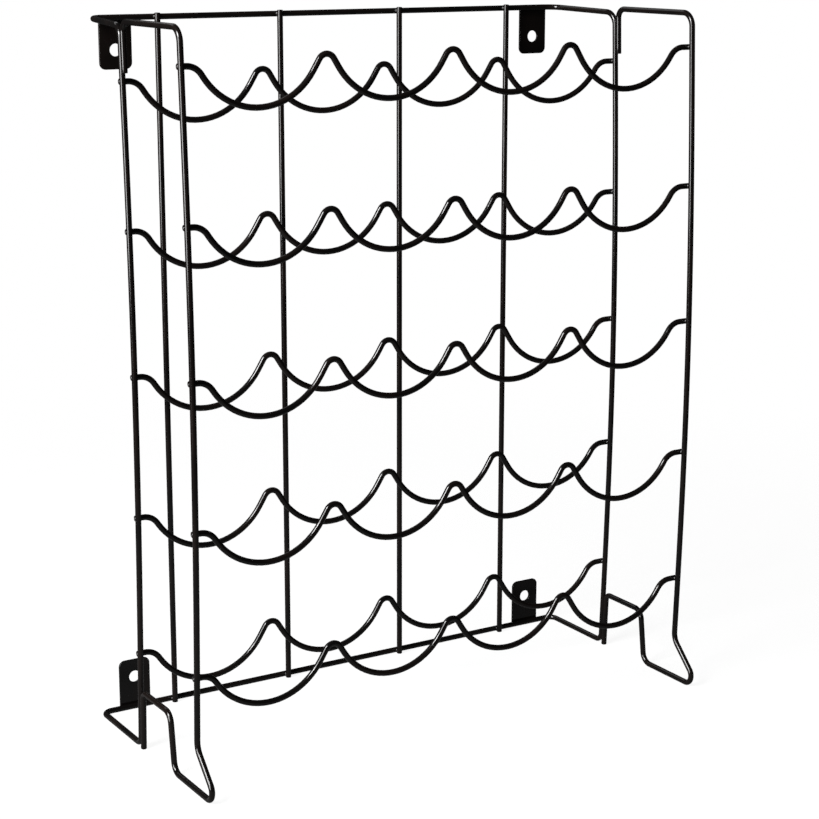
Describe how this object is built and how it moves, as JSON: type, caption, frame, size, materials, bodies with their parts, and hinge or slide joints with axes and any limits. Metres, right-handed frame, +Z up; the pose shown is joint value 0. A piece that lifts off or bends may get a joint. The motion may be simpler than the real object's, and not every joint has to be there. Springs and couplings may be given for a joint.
{
  "type": "wine rack",
  "caption": "Tall black wire rack that holds wine bottles lying on wavy rests, standing on bent wire feet and held to the wall by flat drilled tabs.",
  "frame": {"origin": "on the floor, in the middle of the rack's footprint", "axes": "+X along the rack to the right as seen from the front, +Y from the front to the wall, +Z up"},
  "size_m": [0.489, 0.2255, 0.6085],
  "materials": {
    "black_powder_coat": "satin black powder coat"
  },
  "bodies": {
    "root": {"rear_frame": "black_powder_coat", "left_side_frame": "black_powder_coat", "right_side_frame": "black_powder_coat", "front_wave_1": "black_powder_coat", "front_wave_2": "black_powder_coat", "front_wave_3": "black_powder_coat", "front_wave_4": "black_powder_coat", "front_wave_5": "black_powder_coat", "back_wave_1": "black_powder_coat", "back_wave_2": "black_powder_coat", "back_wave_3": "black_powder_coat", "back_wave_4": "black_powder_coat", "back_wave_5": "black_powder_coat", "rear_rod_1": "black_powder_coat", "rear_rod_2": "black_powder_coat", "rear_rod_3": "black_powder_coat", "rear_rod_4": "black_powder_coat", "wall_tab_top_left": "black_powder_coat", "wall_tab_top_right": "black_powder_coat", "wall_tab_bottom_left": "black_powder_coat", "wall_tab_bottom_right": "black_powder_coat"}
  },
  "joints": []
}
